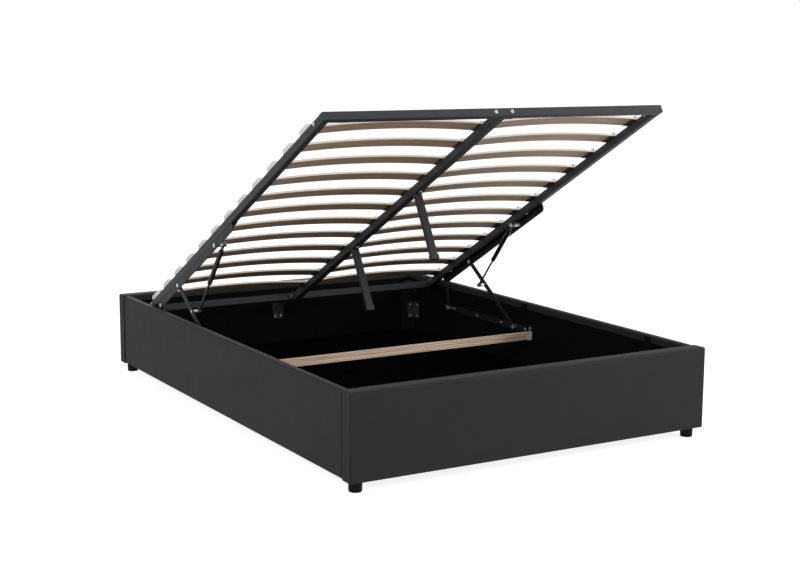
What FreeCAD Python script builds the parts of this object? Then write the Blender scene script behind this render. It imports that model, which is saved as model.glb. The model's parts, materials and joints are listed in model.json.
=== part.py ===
import FreeCAD, Part

import math
import os

from FreeCAD import Vector

# Ottoman bed: a padded box on four short feet, with a slatted lift frame on a
# four-bar linkage and gas struts. Millimetres, +Z up, X across the bed, +Y to the
# head end, origin on the floor below the middle. The model stands raised (open).

# Box
BED_LENGTH = 2020.0
BED_WIDTH = 1415.0
PANEL_HEIGHT = 288.0
FOOT_HEIGHT = 36.0
FOOT_DIAMETER = 45.0
FOOT_INSET = 40.0
FOOT_CHAMFER = 3.0
END_PANEL_DEPTH = 55.0
SIDE_PANEL_DEPTH = 30.0
SIDE_PANEL_STEP = 3.0
COVER_PADDING = 5.0
COVER_EDGE_RADIUS = 7.0
COVER_LIP_DROP = 26.0
LINING_THICKNESS = 2.0
CORNER_POST = 45.0
CORNER_POST_DROP = 40.0
CORNER_PLATE_LEG = 38.0
CORNER_PLATE_HEIGHT = 72.0
CORNER_PLATE_BOTTOM = 118.0
PLATE_THICKNESS = 3.0

# Storage floor
LEDGE_WIDTH = 20.0
LEDGE_HEIGHT = 18.0
FLOOR_THICKNESS = 4.0
FLOOR_EDGE_GAP = 1.0
LEG_HOLE_WIDTH = 66.0
LEG_HOLE_LENGTH = 84.0
LEG_HOLE_LEAD = 14.0

# Cross batten
BATTEN_DEPTH = 20.0
BATTEN_HEIGHT = 30.0
BATTEN_DROP = 5.0
BATTEN_FRONT_Y = -12.0
HANGER_THICKNESS = 2.0
HANGER_LENGTH = 20.0
HANGER_RISE = 22.0
HANGER_FLANGE_RISE = 4.0
HANGER_SCREW_RISE = 14.0

# Lift frame
FRAME_SIDE_GAP = 4.5
FRAME_FOOT_GAP = 62.0
FRAME_HEAD_GAP = 76.0
MATTRESS_RECESS = 34.5
TUBE_WIDTH = 25.0
TUBE_HEIGHT = 28.0
TUBE_WALL = 1.5
TUBE_CORNER = 2.0
CENTRE_TUBE_WIDTH = 30.0
END_PLATE_WIDTH = 90.0
END_BOLT_SPACING = 64.0
CORNER_BOLT_SETBACK = 69.0
CORNER_BOLT_DROP = 9.0
LEG_WIDTH = 30.0
LEG_DEPTH = 15.0
LEG_FLOOR_GAP = 1.5
FRONT_LEG_SETBACK = 636.0
REAR_LEG_SETBACK = 595.0
LEG_PLATE_LENGTH = 70.0
LEG_CAP_HEIGHT = 18.0
LEG_CAP_WALL = 1.5
LEG_CAP_FLOOR = 4.0

# Slats
SLAT_ROWS = 12
SLAT_FIRST_S = 151.0
SLAT_PITCH = 137.0
SLAT_WIDTH = 53.0
SLAT_THICKNESS = 8.0
SLAT_RISE = 16.0
SLAT_SEAT = 3.0
SLAT_END_INSET = 4.0
SLAT_CENTRE_GAP = 5.0
HOLDER_HEIGHT = 19.0
HOLDER_LENGTH = 26.0
CENTRE_HOLDER_LENGTH = 38.0
HOLDER_WALL = 3.0
HOLDER_SHOULDER = 5.0

# Lift linkage
LIFT_ANGLE = 29.0
LOWER_PIVOT_DROP = 34.5
LOWER_PIVOT_SETBACK = 355.0
LOWER_PIVOT_SPACING = 498.0
UPPER_PIVOT_SETBACK = 160.0
UPPER_PIVOT_SPACING = 211.0
STRUT_PIVOT_SPACING = 622.0
PIVOT_DROP = 43.0
REAR_PIVOT_DROP = 48.0
STRUT_STUD_DROP = 148.0
UPPER_PLATE_LENGTH = 832.0
UPPER_PLATE_TAIL = 28.0
UPPER_PLATE_DEPTH = 31.0
UPPER_FLANGE_GAP = 36.0
UPPER_PLATE_CORNER = 16.0
UPPER_PLATE_BEND = 2.5
UPPER_BOLT_INSET = 96.0
LOWER_PLATE_HEIGHT = 24.0
LOWER_PLATE_LEAD = 84.0
LOWER_PLATE_TAIL = 42.0
LOWER_SCREW_LEAD = 101.0
LOWER_SCREW_TAIL = 32.0
LINK_WIDTH = 19.0
REAR_LINK_WIDTH = 16.0
LINK_THICKNESS = 5.0
LINK_GAP = 0.5
PIN_RADIUS = 5.0
PIN_HEAD_RADIUS = 8.0
PIN_HEAD_HEIGHT = 3.5
RIVET_HEAD_HEIGHT = 2.5
RUNNING_FIT = 0.05
FACE_GAP = 0.3

# Gas struts
STRUT_AXIS_INSET = 37.0
STRUT_PIN_RADIUS = 4.0
STRUT_EYE_RADIUS = 8.0
STRUT_EYE_LENGTH = 12.0
STRUT_NECK_RADIUS = 5.5
CYLINDER_RADIUS = 9.0
CYLINDER_START = 30.0
CYLINDER_LENGTH = 185.0
CYLINDER_END_WALL = 25.0
ROD_RADIUS = 4.0
ROD_OVERLAP = 40.0
STRUT_SOCKET_LENGTH = 22.0
STRUT_SOCKET_RADIUS = 5.5
STUD_RADIUS = 5.0

# Frame rests and head support
REST_LENGTH = 74.0
REST_WIDTH = 26.0
REST_DROP = 28.0
REST_GAP = 1.0
HANGER_REST_WIDTH = 38.0
HANGER_REST_SETBACK = 222.0
HANGER_REST_DROP = 5.0
CLIP_Y = 43.0
CLIP_HEIGHT = 40.0
CLIP_THICKNESS = 1.2
SUPPORT_WIDTH = 70.0
SUPPORT_HEIGHT = 94.0
SUPPORT_FOOT_WIDTH = 34.0
SUPPORT_OVERLAP = 20.0

# Fasteners
SCREW_HEAD_RADIUS = 5.0
SCREW_HEAD_HEIGHT = 2.4
SCREW_RADIUS = 2.2
SCREW_LENGTH = 15.0
SCREW_EDGE = 11.0
BOLT_HEAD_RADIUS = 6.5
BOLT_HEAD_HEIGHT = 2.5
BOLT_RADIUS = 3.0
SOCKET_SHARE = 0.45

# Heights and faces of the box
PANEL_TOP = FOOT_HEIGHT + PANEL_HEIGHT
HALF_LENGTH = BED_LENGTH / 2
HALF_WIDTH = BED_WIDTH / 2
INNER_Y = HALF_LENGTH - END_PANEL_DEPTH
INNER_X = HALF_WIDTH - SIDE_PANEL_DEPTH
SIDE_OUTER_X = HALF_WIDTH - SIDE_PANEL_STEP
SIDE_BOTTOM = FOOT_HEIGHT + SIDE_PANEL_STEP
SIDE_TOP = PANEL_TOP - SIDE_PANEL_STEP
LEDGE_BOTTOM = SIDE_BOTTOM
FLOOR_BOTTOM = LEDGE_BOTTOM + LEDGE_HEIGHT
POST_TOP = PANEL_TOP - CORNER_POST_DROP

# Lift frame in its closed, level place: s runs from its foot end to its head end and
# n runs down from its top face
FRAME_X = INNER_X - FRAME_SIDE_GAP
FRAME_LENGTH = 2 * INNER_Y - FRAME_FOOT_GAP - FRAME_HEAD_GAP
FRAME_Y0 = -INNER_Y + FRAME_FOOT_GAP
FRAME_Z0 = PANEL_TOP - MATTRESS_RECESS
FRAME_UNDER_Z = FRAME_Z0 - TUBE_HEIGHT
REAR_UPPER_S = FRAME_LENGTH - UPPER_PIVOT_SETBACK
FRONT_UPPER_S = REAR_UPPER_S - UPPER_PIVOT_SPACING
STRUT_UPPER_S = REAR_UPPER_S - STRUT_PIVOT_SPACING
FRONT_LEG_S = FRONT_LEG_SETBACK
REAR_LEG_S = FRAME_LENGTH - REAR_LEG_SETBACK
LOWER_PIVOT_Z = FRAME_Z0 - PIVOT_DROP - LOWER_PIVOT_DROP
REAR_LOWER_Y = INNER_Y - LOWER_PIVOT_SETBACK
FRONT_LOWER_Y = REAR_LOWER_Y - LOWER_PIVOT_SPACING

# Layers of the linkage across the bed, measured outwards from the middle
UPPER_PLATE_X = (FRAME_X - PLATE_THICKNESS, FRAME_X)
LOWER_PLATE_X = (INNER_X - PLATE_THICKNESS, INNER_X)
LINK_X = (UPPER_PLATE_X[0] - LINK_GAP - LINK_THICKNESS, UPPER_PLATE_X[0] - LINK_GAP)
STRUT_X = FRAME_X - STRUT_AXIS_INSET
EYE_X = (STRUT_X - STRUT_EYE_LENGTH / 2, STRUT_X + STRUT_EYE_LENGTH / 2)
PIN_HEAD_X = LINK_X[0] - FACE_GAP


def circle_crossing(centre_a, radius_a, centre_b, radius_b):
    """The upper of the two points where two circles in the YZ plane cross."""
    span = centre_b - centre_a
    distance = span.Length
    along = (radius_a ** 2 - radius_b ** 2 + distance ** 2) / (2 * distance)
    across = math.sqrt(radius_a ** 2 - along ** 2)
    unit = span * (1 / distance)
    normal = Vector(0, -unit.z, unit.y)
    crossings = [centre_a + unit * along + normal * (side * across) for side in (1, -1)]
    return max(crossings, key=lambda point: point.z)


def turned(vector, degrees):
    """A vector turned about +X by the right-hand rule."""
    c = math.cos(math.radians(degrees))
    s = math.sin(math.radians(degrees))
    return Vector(vector.x, c * vector.y - s * vector.z, s * vector.y + c * vector.z)


def closed_point(s, n):
    """A point of the lift frame when it lies level in the box."""
    return Vector(0, FRAME_Y0 + s, FRAME_Z0 - n)


# Pivots: fixed ones on the box, and those of the frame when closed and when raised
FRONT_LOWER = Vector(0, FRONT_LOWER_Y, LOWER_PIVOT_Z)
REAR_LOWER = Vector(0, REAR_LOWER_Y, LOWER_PIVOT_Z)
FRONT_CLOSED = closed_point(FRONT_UPPER_S, PIVOT_DROP)
REAR_CLOSED = closed_point(REAR_UPPER_S, REAR_PIVOT_DROP)
FRONT_LINK_LENGTH = (FRONT_CLOSED - FRONT_LOWER).Length
REAR_LINK_LENGTH = (REAR_CLOSED - REAR_LOWER).Length
PIVOT_SPAN_OPEN = turned(REAR_CLOSED - FRONT_CLOSED, -LIFT_ANGLE)
FRONT_OPEN = circle_crossing(
    FRONT_LOWER, FRONT_LINK_LENGTH, REAR_LOWER - PIVOT_SPAN_OPEN, REAR_LINK_LENGTH)
REAR_OPEN = FRONT_OPEN + PIVOT_SPAN_OPEN


def open_point(s, n):
    """A point of the lift frame when it is raised."""
    return REAR_OPEN + turned(closed_point(s, n) - REAR_CLOSED, -LIFT_ANGLE)


STRUT_OPEN = open_point(STRUT_UPPER_S, PIVOT_DROP)
STRUT_CLOSED = closed_point(STRUT_UPPER_S, PIVOT_DROP)
STUD_SHARE = STRUT_STUD_DROP / FRONT_LINK_LENGTH
STUD_OPEN = FRONT_OPEN + (FRONT_LOWER - FRONT_OPEN) * STUD_SHARE
STUD_CLOSED = FRONT_CLOSED + (FRONT_LOWER - FRONT_CLOSED) * STUD_SHARE

SIDES = {"left": -1, "right": 1}
X_AXIS = Vector(1, 0, 0)
Y_AXIS = Vector(0, 1, 0)
Z_AXIS = Vector(0, 0, 1)

nodes = {}


def box(x, y, z):
    """A block between the given pairs of limits, in any order."""
    low = Vector(min(x), min(y), min(z))
    high = Vector(max(x), max(y), max(z))
    size = high - low
    return Part.makeBox(size.x, size.y, size.z, low)


def rod(start, end, radius):
    """A round bar from one point to another."""
    direction = end - start
    return Part.makeCylinder(radius, direction.Length, start, direction)


def at_x(point, x):
    """The point moved across the bed to x."""
    return Vector(x, point.y, point.z)


def both(side, limits):
    """A pair of distances from the middle, on one side of the bed."""
    return (side * limits[0], side * limits[1])


def prism(points, direction):
    """A solid with straight sides from its outline, swept along a direction."""
    return Part.Face(Part.makePolygon(points + points[:1])).extrude(direction)


def flat_bar(start, end, radius, x):
    """A flat bar with round ends about two pivots, lying between two X limits."""
    low = min(x)
    thickness = max(x) - low
    along = (end - start).normalize()
    across = X_AXIS.cross(along) * radius
    first = at_x(start, low)
    last = at_x(end, low)
    edges = [
        Part.LineSegment(first + across, last + across).toShape(),
        Part.Arc(last + across, last + along * radius, last - across).toShape(),
        Part.LineSegment(last - across, first - across).toShape(),
        Part.Arc(first - across, first - along * radius, first + across).toShape(),
    ]
    return Part.Face(Part.Wire(edges)).extrude(X_AXIS * thickness)


def tube(x, y, z, along):
    """A square tube, open at both ends along one axis."""
    outer = box(x, y, z)
    direction = {"x": X_AXIS, "y": Y_AXIS, "z": Z_AXIS}[along]
    long_edges = [edge for edge in outer.Edges if edge.tangentAt(0).cross(direction).Length < 0.01]
    outer = outer.makeFillet(TUBE_CORNER, long_edges)
    limits = {"x": list(x), "y": list(y), "z": list(z)}
    for axis, pair in limits.items():
        inset = -1.0 if axis == along else TUBE_WALL
        limits[axis] = (min(pair) + inset, max(pair) - inset)
    return outer.cut(box(limits["x"], limits["y"], limits["z"]))


def raised(shape):
    """A lift frame piece taken from its level place to its raised one."""
    shape.rotate(at_x(REAR_CLOSED, 0), X_AXIS, -LIFT_ANGLE)
    shape.translate(REAR_OPEN - REAR_CLOSED)
    return shape


def group(shapes):
    """Separate solids kept together in one node."""
    return Part.makeCompound(shapes)


def fastener(seat, direction, head_radius, head_height, radius, length):
    """A headed fastener whose head sits on seat, and the hole its shank fills."""
    shank = rod(seat, seat + direction * length, radius)
    head = rod(seat - direction * head_height, seat, head_radius)
    outer_rim = max(head.Edges, key=lambda edge: (seat - edge.CenterOfMass).dot(direction))
    head = head.makeFillet(head_height * 0.4, [outer_rim])
    top = seat - direction * head_height
    across = direction.cross(Vector(direction.y, direction.z, direction.x)) * (head_radius * SOCKET_SHARE)
    turn = FreeCAD.Rotation(direction, 60)
    corners_of_socket = [top + across]
    for _ in range(5):
        corners_of_socket.append(top + turn.multVec(corners_of_socket[-1] - top))
    socket = prism(corners_of_socket, direction * (head_height * SOCKET_SHARE))
    return head.fuse(shank).removeSplitter().cut(socket), shank


def drilled(shape, holes):
    """A shape with fastener holes cut in it."""
    return shape.cut(group(holes)) if holes else shape


def screw(seat, direction):
    return fastener(seat, direction, SCREW_HEAD_RADIUS, SCREW_HEAD_HEIGHT, SCREW_RADIUS, SCREW_LENGTH)


def bolt(seat, direction, length):
    return fastener(seat, direction, BOLT_HEAD_RADIUS, BOLT_HEAD_HEIGHT, BOLT_RADIUS, length)


def rounded(shape, radius, wanted):
    """A block with the edges that pass the test rounded."""
    edges = [edge for edge in shape.Edges if wanted(edge.CenterOfMass)]
    return shape.makeFillet(radius, edges)


def near(value, target):
    return abs(value - target) < 0.01


base_screws = []
base_holes = []


def add_screw(seat, direction):
    solid, hole = screw(seat, direction)
    base_screws.append(solid)
    base_holes.append(hole)


def end_panel(name, end):
    """Padded panel across one end: board, and cover wrapped over the outside, ends and top."""
    outer_y = end * HALF_LENGTH
    inner_y = end * INNER_Y
    board_y = (outer_y - end * COVER_PADDING, inner_y + end * LINING_THICKNESS)
    board_x = HALF_WIDTH - COVER_PADDING
    board = box((-board_x, board_x), board_y, (FOOT_HEIGHT, PANEL_TOP - COVER_PADDING))
    cover = box((-HALF_WIDTH, HALF_WIDTH), (outer_y, inner_y), (FOOT_HEIGHT, PANEL_TOP))

    def outside_edge(c):
        on_top = near(c.z, PANEL_TOP)
        on_face = near(c.y, outer_y)
        on_end = near(abs(c.x), HALF_WIDTH)
        return on_top and (on_face or on_end) or on_face and on_end

    cover = rounded(cover, COVER_EDGE_RADIUS, outside_edge).cut(board)
    lining_x = (-INNER_X, INNER_X)
    lining_y = (inner_y, inner_y + end * LINING_THICKNESS)
    lining = box(lining_x, lining_y, (FOOT_HEIGHT, PANEL_TOP - COVER_LIP_DROP))
    nodes[name + "_panel_board"] = board
    nodes[name + "_panel_cover"] = cover.cut(lining)
    return lining


def side_panel(name, side):
    """Padded panel along one side, between the end panels and a step inside their faces."""
    board_x = both(side, (INNER_X + LINING_THICKNESS, SIDE_OUTER_X - COVER_PADDING))
    length = (-INNER_Y, INNER_Y)
    board = box(board_x, length, (SIDE_BOTTOM, SIDE_TOP - COVER_PADDING))
    cover = box(both(side, (INNER_X, SIDE_OUTER_X)), length, (SIDE_BOTTOM, SIDE_TOP))
    top_edge = side * SIDE_OUTER_X
    cover = rounded(
        cover, COVER_EDGE_RADIUS, lambda c: near(c.z, SIDE_TOP) and near(c.x, top_edge))
    lining_x = both(side, (INNER_X, INNER_X + LINING_THICKNESS))
    lining = box(lining_x, length, (SIDE_BOTTOM, SIDE_TOP - COVER_LIP_DROP))
    nodes[name + "_side_board"] = board
    nodes[name + "_side_cover"] = cover.cut(board).cut(lining)
    return lining


def corners():
    """Feet, corner posts and the angle plates that tie each post to the side panel."""
    feet = []
    posts = []
    plates = []
    for side in SIDES.values():
        for end in (-1, 1):
            foot_at = Vector(side * (HALF_WIDTH - FOOT_INSET), end * (HALF_LENGTH - FOOT_INSET), 0)
            foot = Part.makeCylinder(FOOT_DIAMETER / 2, FOOT_HEIGHT, foot_at)
            feet.append(foot.makeChamfer(FOOT_CHAMFER, [foot.Edges[2]]))
            post_x = both(side, (INNER_X - CORNER_POST, INNER_X))
            post_face = end * (INNER_Y - CORNER_POST)
            posts.append(box(post_x, (post_face, end * INNER_Y), (FOOT_HEIGHT, POST_TOP)))
            z = (CORNER_PLATE_BOTTOM, CORNER_PLATE_BOTTOM + CORNER_PLATE_HEIGHT)
            inwards = post_face - end * PLATE_THICKNESS
            leg_x = both(side, (INNER_X - CORNER_PLATE_LEG, INNER_X))
            on_post = box(leg_x, (inwards, post_face), z)
            wall_x = both(side, (INNER_X - PLATE_THICKNESS, INNER_X))
            on_wall = box(wall_x, (post_face - end * CORNER_PLATE_LEG, post_face), z)
            plates.append(on_post.fuse(on_wall).removeSplitter())
            for height in (z[0] + SCREW_EDGE, z[1] - SCREW_EDGE):
                post_screw_x = side * (INNER_X - CORNER_PLATE_LEG + SCREW_EDGE)
                add_screw(Vector(post_screw_x, inwards, height), Y_AXIS * end)
                wall_screw_y = post_face - end * (CORNER_PLATE_LEG - SCREW_EDGE)
                add_screw(Vector(side * wall_x_inner(), wall_screw_y, height), X_AXIS * side)
    nodes["corner_feet"] = group(feet)
    nodes["corner_posts"] = group(posts)
    nodes["corner_plates"] = group(plates)


def wall_x_inner():
    """Distance from the middle to the face of a plate fixed on a side wall."""
    return INNER_X - PLATE_THICKNESS


def storage_floor():
    """Two floor boards on timber ledges, each with a hole for a centre leg."""
    z = (LEDGE_BOTTOM, LEDGE_BOTTOM + LEDGE_HEIGHT)
    post_y = INNER_Y - CORNER_POST
    side_x = (INNER_X - LEDGE_WIDTH, INNER_X)
    between_x = INNER_X - CORNER_POST
    ledges = [box(both(side, side_x), (-post_y, post_y), z) for side in SIDES.values()]
    for end in (-1, 1):
        end_y = both(end, (INNER_Y - LEDGE_WIDTH, INNER_Y))
        ledges.append(box((-between_x, between_x), end_y, z))
    middle_y = (-LEDGE_WIDTH, LEDGE_WIDTH)
    ledges.append(box((-side_x[0], side_x[0]), middle_y, z))
    nodes["floor_ledges"] = group(ledges)
    top = (FLOOR_BOTTOM, FLOOR_BOTTOM + FLOOR_THICKNESS)
    floor_x = between_x - FLOOR_EDGE_GAP
    for name, end, leg_s in (("foot", -1, FRONT_LEG_S), ("head", 1, REAR_LEG_S)):
        along = both(end, (FLOOR_EDGE_GAP / 2, INNER_Y - FLOOR_EDGE_GAP))
        narrow = box((-floor_x, floor_x), along, top)
        wide_x = INNER_X - FLOOR_EDGE_GAP
        wide_y = both(end, (FLOOR_EDGE_GAP / 2, post_y - FLOOR_EDGE_GAP))
        board = narrow.fuse(box((-wide_x, wide_x), wide_y, top)).removeSplitter()
        hole_y = closed_point(leg_s, 0).y - LEG_HOLE_LEAD
        hole = box(
            (-LEG_HOLE_WIDTH / 2, LEG_HOLE_WIDTH / 2),
            (hole_y - LEG_HOLE_LENGTH / 2, hole_y + LEG_HOLE_LENGTH / 2),
            (top[0] - 1, top[1] + 1))
        nodes["storage_floor_" + name] = board.cut(hole)


def batten():
    """Cross batten on edge between the side panels, in a steel hanger at each end."""
    front = BATTEN_FRONT_Y
    back = front + BATTEN_DEPTH
    top = LOWER_PIVOT_Z - BATTEN_DROP
    under = top - BATTEN_HEIGHT
    outside_y = front - HANGER_THICKNESS
    seat_z = under - HANGER_THICKNESS
    wall_x = INNER_X - HANGER_THICKNESS
    nodes["cross_batten"] = box((-wall_x, wall_x), (front, back), (under, top))
    hangers = []
    for side in SIDES.values():
        reach_x = both(side, (INNER_X - HANGER_LENGTH, INNER_X))
        wall = box(both(side, (wall_x, INNER_X)), (outside_y, back), (seat_z, top + HANGER_RISE))
        shelf = box(reach_x, (outside_y, back), (seat_z, under))
        flange = box(reach_x, (outside_y, front), (seat_z, top + HANGER_FLANGE_RISE))
        hangers.append(wall.fuse(shelf).fuse(flange).removeSplitter())
        seat = Vector(side * wall_x, (front + back) / 2, top + HANGER_SCREW_RISE)
        add_screw(seat, X_AXIS * side)
    nodes["batten_hangers"] = group(hangers)


def frame_rests():
    """Wall brackets that the closed frame's side rails come down on, and a clip at mid length."""
    rests = []
    top = FRAME_UNDER_Z - REST_GAP
    start = INNER_Y - CORNER_POST
    stop = start - REST_LENGTH
    hook_y = -INNER_Y + HANGER_REST_SETBACK
    hook_top = SIDE_TOP - HANGER_REST_DROP
    half = HANGER_REST_WIDTH / 2
    for side in SIDES.values():
        x = side * wall_x_inner()
        shelf_x = both(side, (INNER_X - REST_WIDTH, INNER_X))
        shelf = box(shelf_x, (start, stop), (top - PLATE_THICKNESS, top))
        corner = [Vector(x, start, top), Vector(x, stop, top), Vector(x, start, top - REST_DROP)]
        web = prism(corner, X_AXIS * (side * PLATE_THICKNESS))
        rests.append(shelf.fuse(web).removeSplitter())
        add_screw(Vector(x, start - SCREW_EDGE, top - REST_DROP / 2), X_AXIS * side)

        clip_x = INNER_X - CLIP_THICKNESS
        plate_x = both(side, (clip_x, INNER_X))
        plate = box(plate_x, (hook_y - half, hook_y + half), (top - PLATE_THICKNESS, hook_top))
        shelf = box(shelf_x, (hook_y - half, hook_y + half), (top - PLATE_THICKNESS, top))
        rests.append(plate.fuse(shelf).removeSplitter())
        clip_z = (hook_top - CLIP_HEIGHT, hook_top)
        rests.append(box(plate_x, (CLIP_Y - half, CLIP_Y + half), clip_z))
        for y in (hook_y, CLIP_Y):
            add_screw(Vector(side * clip_x, y, hook_top - SCREW_EDGE), X_AXIS * side)
    nodes["frame_rests"] = group(rests)


def head_support():
    """Bracket on the head panel that the middle of the closed frame comes down on."""
    top = FRAME_UNDER_Z - REST_GAP
    reach = FRAME_Y0 + FRAME_LENGTH - SUPPORT_OVERLAP
    half = SUPPORT_WIDTH / 2
    foot_half = SUPPORT_FOOT_WIDTH / 2
    shelf = box((-half, half), (reach, INNER_Y), (top - PLATE_THICKNESS, top))
    face = INNER_Y - PLATE_THICKNESS
    bottom = top - SUPPORT_HEIGHT
    outline = [
        Vector(-half, face, top), Vector(half, face, top),
        Vector(foot_half, face, bottom), Vector(-foot_half, face, bottom)]
    back = prism(outline, Y_AXIS * PLATE_THICKNESS)
    web_x = -PLATE_THICKNESS / 2
    gusset = prism(
        [Vector(web_x, reach, top), Vector(web_x, INNER_Y, top), Vector(web_x, INNER_Y, bottom)],
        X_AXIS * PLATE_THICKNESS)
    nodes["head_support"] = shelf.fuse(back).fuse(gusset).removeSplitter()
    for side in SIDES.values():
        low_screw_x = side * (foot_half - PLATE_THICKNESS)
        add_screw(Vector(low_screw_x, face, bottom + SCREW_EDGE), Y_AXIS)
        add_screw(Vector(side * (half - SCREW_EDGE), face, top - SCREW_EDGE - PLATE_THICKNESS), Y_AXIS)


def lower_plates():
    """Linkage plates on the side walls, with their screws and pivot pins."""
    pins = []
    start = FRONT_LOWER - Y_AXIS * (LOWER_PLATE_LEAD - LOWER_PLATE_HEIGHT / 2)
    end = REAR_LOWER + Y_AXIS * (LOWER_PLATE_TAIL - LOWER_PLATE_HEIGHT / 2)
    first = FRONT_LOWER_Y + LOWER_SCREW_LEAD
    last = REAR_LOWER_Y - LOWER_SCREW_TAIL
    for name, side in SIDES.items():
        nodes[name + "_lower_plate"] = flat_bar(
            start, end, LOWER_PLATE_HEIGHT / 2, both(side, LOWER_PLATE_X))
        for y in (start.y, first, (first + last) / 2, last, end.y):
            add_screw(Vector(side * LOWER_PLATE_X[0], y, LOWER_PIVOT_Z), X_AXIS * side)
        for pivot in (FRONT_LOWER, REAR_LOWER):
            face = at_x(pivot, side * LOWER_PLATE_X[0])
            spacer = rod(face, at_x(pivot, side * (LINK_X[1] + FACE_GAP)), PIN_HEAD_RADIUS)
            pins.append(spacer.fuse(pivot_pin(face, side)).removeSplitter())
    nodes["lower_pivot_pins"] = group(pins)


def pivot_pin(seat, side):
    """A headed pin from its seat through a link towards the middle of the bed."""
    under_head = at_x(seat, side * PIN_HEAD_X)
    shank = rod(seat, under_head, PIN_RADIUS)
    head = rod(under_head, under_head - X_AXIS * (side * PIN_HEAD_HEIGHT), PIN_HEAD_RADIUS)
    return shank.fuse(head).removeSplitter()


def links():
    """Front and rear links of the four-bar, and the strut studs in the front ones."""
    studs = []
    for name, side in SIDES.items():
        x = both(side, LINK_X)

        def pin_hole(pivot):
            return rod(at_x(pivot, x[0] - side), at_x(pivot, x[1] + side), PIN_RADIUS + RUNNING_FIT)

        stud_hole = rod(at_x(STUD_OPEN, x[0]), at_x(STUD_OPEN, x[1]), STUD_RADIUS)
        front = flat_bar(FRONT_LOWER, FRONT_OPEN, LINK_WIDTH / 2, x)
        front = front.cut(pin_hole(FRONT_LOWER)).cut(pin_hole(FRONT_OPEN)).cut(stud_hole)
        nodes[name + "_front_link"] = front
        stud_end = at_x(STUD_OPEN, side * (EYE_X[1] + FACE_GAP))
        studs.append(rod(at_x(STUD_OPEN, x[1]), stud_end, STUD_RADIUS))
        rear = flat_bar(REAR_LOWER, REAR_OPEN, REAR_LINK_WIDTH / 2, x).cut(pin_hole(REAR_LOWER))
        rivet_end = at_x(REAR_OPEN, side * (LINK_X[0] - PIN_HEAD_HEIGHT))
        rivet = rod(at_x(REAR_OPEN, x[0]), rivet_end, REAR_LINK_WIDTH / 2 - LINK_GAP)
        nodes[name + "_rear_link"] = rear.fuse(rivet).removeSplitter()
    nodes["front_link_studs"] = group(studs)


def struts():
    """Gas struts: cylinder with its eye on the frame, and rod with its socket at the stud."""
    tops = []
    sockets = []
    axis = (STUD_OPEN - STRUT_OPEN).normalize()
    length = (STUD_OPEN - STRUT_OPEN).Length
    cylinder_end = CYLINDER_START + CYLINDER_LENGTH
    for name, side in SIDES.items():
        top = at_x(STRUT_OPEN, side * STRUT_X)

        def along(distance):
            return top + axis * distance

        barrel = rod(along(CYLINDER_START), along(cylinder_end), CYLINDER_RADIUS)
        bore_start = along(CYLINDER_START + CYLINDER_END_WALL)
        barrel = barrel.cut(rod(bore_start, along(cylinder_end + 1), ROD_RADIUS + RUNNING_FIT))
        nodes[name + "_strut_cylinder"] = barrel
        eye_x = both(side, EYE_X)
        eye = rod(at_x(top, eye_x[0]), at_x(top, eye_x[1]), STRUT_EYE_RADIUS)
        neck = rod(top, along(CYLINDER_START), STRUT_NECK_RADIUS)
        hole = rod(at_x(top, eye_x[0] - side), at_x(top, eye_x[1] + side), STRUT_PIN_RADIUS + RUNNING_FIT)
        tops.append(neck.fuse(eye).removeSplitter().cut(hole))
        rod_end = along(length - STRUT_SOCKET_LENGTH)
        nodes[name + "_strut_rod"] = rod(along(cylinder_end - ROD_OVERLAP), rod_end, ROD_RADIUS)
        bottom = along(length)
        socket = rod(rod_end, bottom, STRUT_SOCKET_RADIUS)
        ball = rod(at_x(bottom, eye_x[0]), at_x(bottom, eye_x[1]), STRUT_EYE_RADIUS)
        sockets.append(socket.fuse(ball).removeSplitter())
    nodes["strut_top_eyes"] = group(tops)
    nodes["strut_foot_sockets"] = group(sockets)


def frame_limits(s, n):
    """Y and Z limits of a level lift frame piece from its limits in s and n."""
    y = (FRAME_Y0 + s[0], FRAME_Y0 + s[1])
    z = (FRAME_Z0 - n[0], FRAME_Z0 - n[1])
    return y, z


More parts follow.
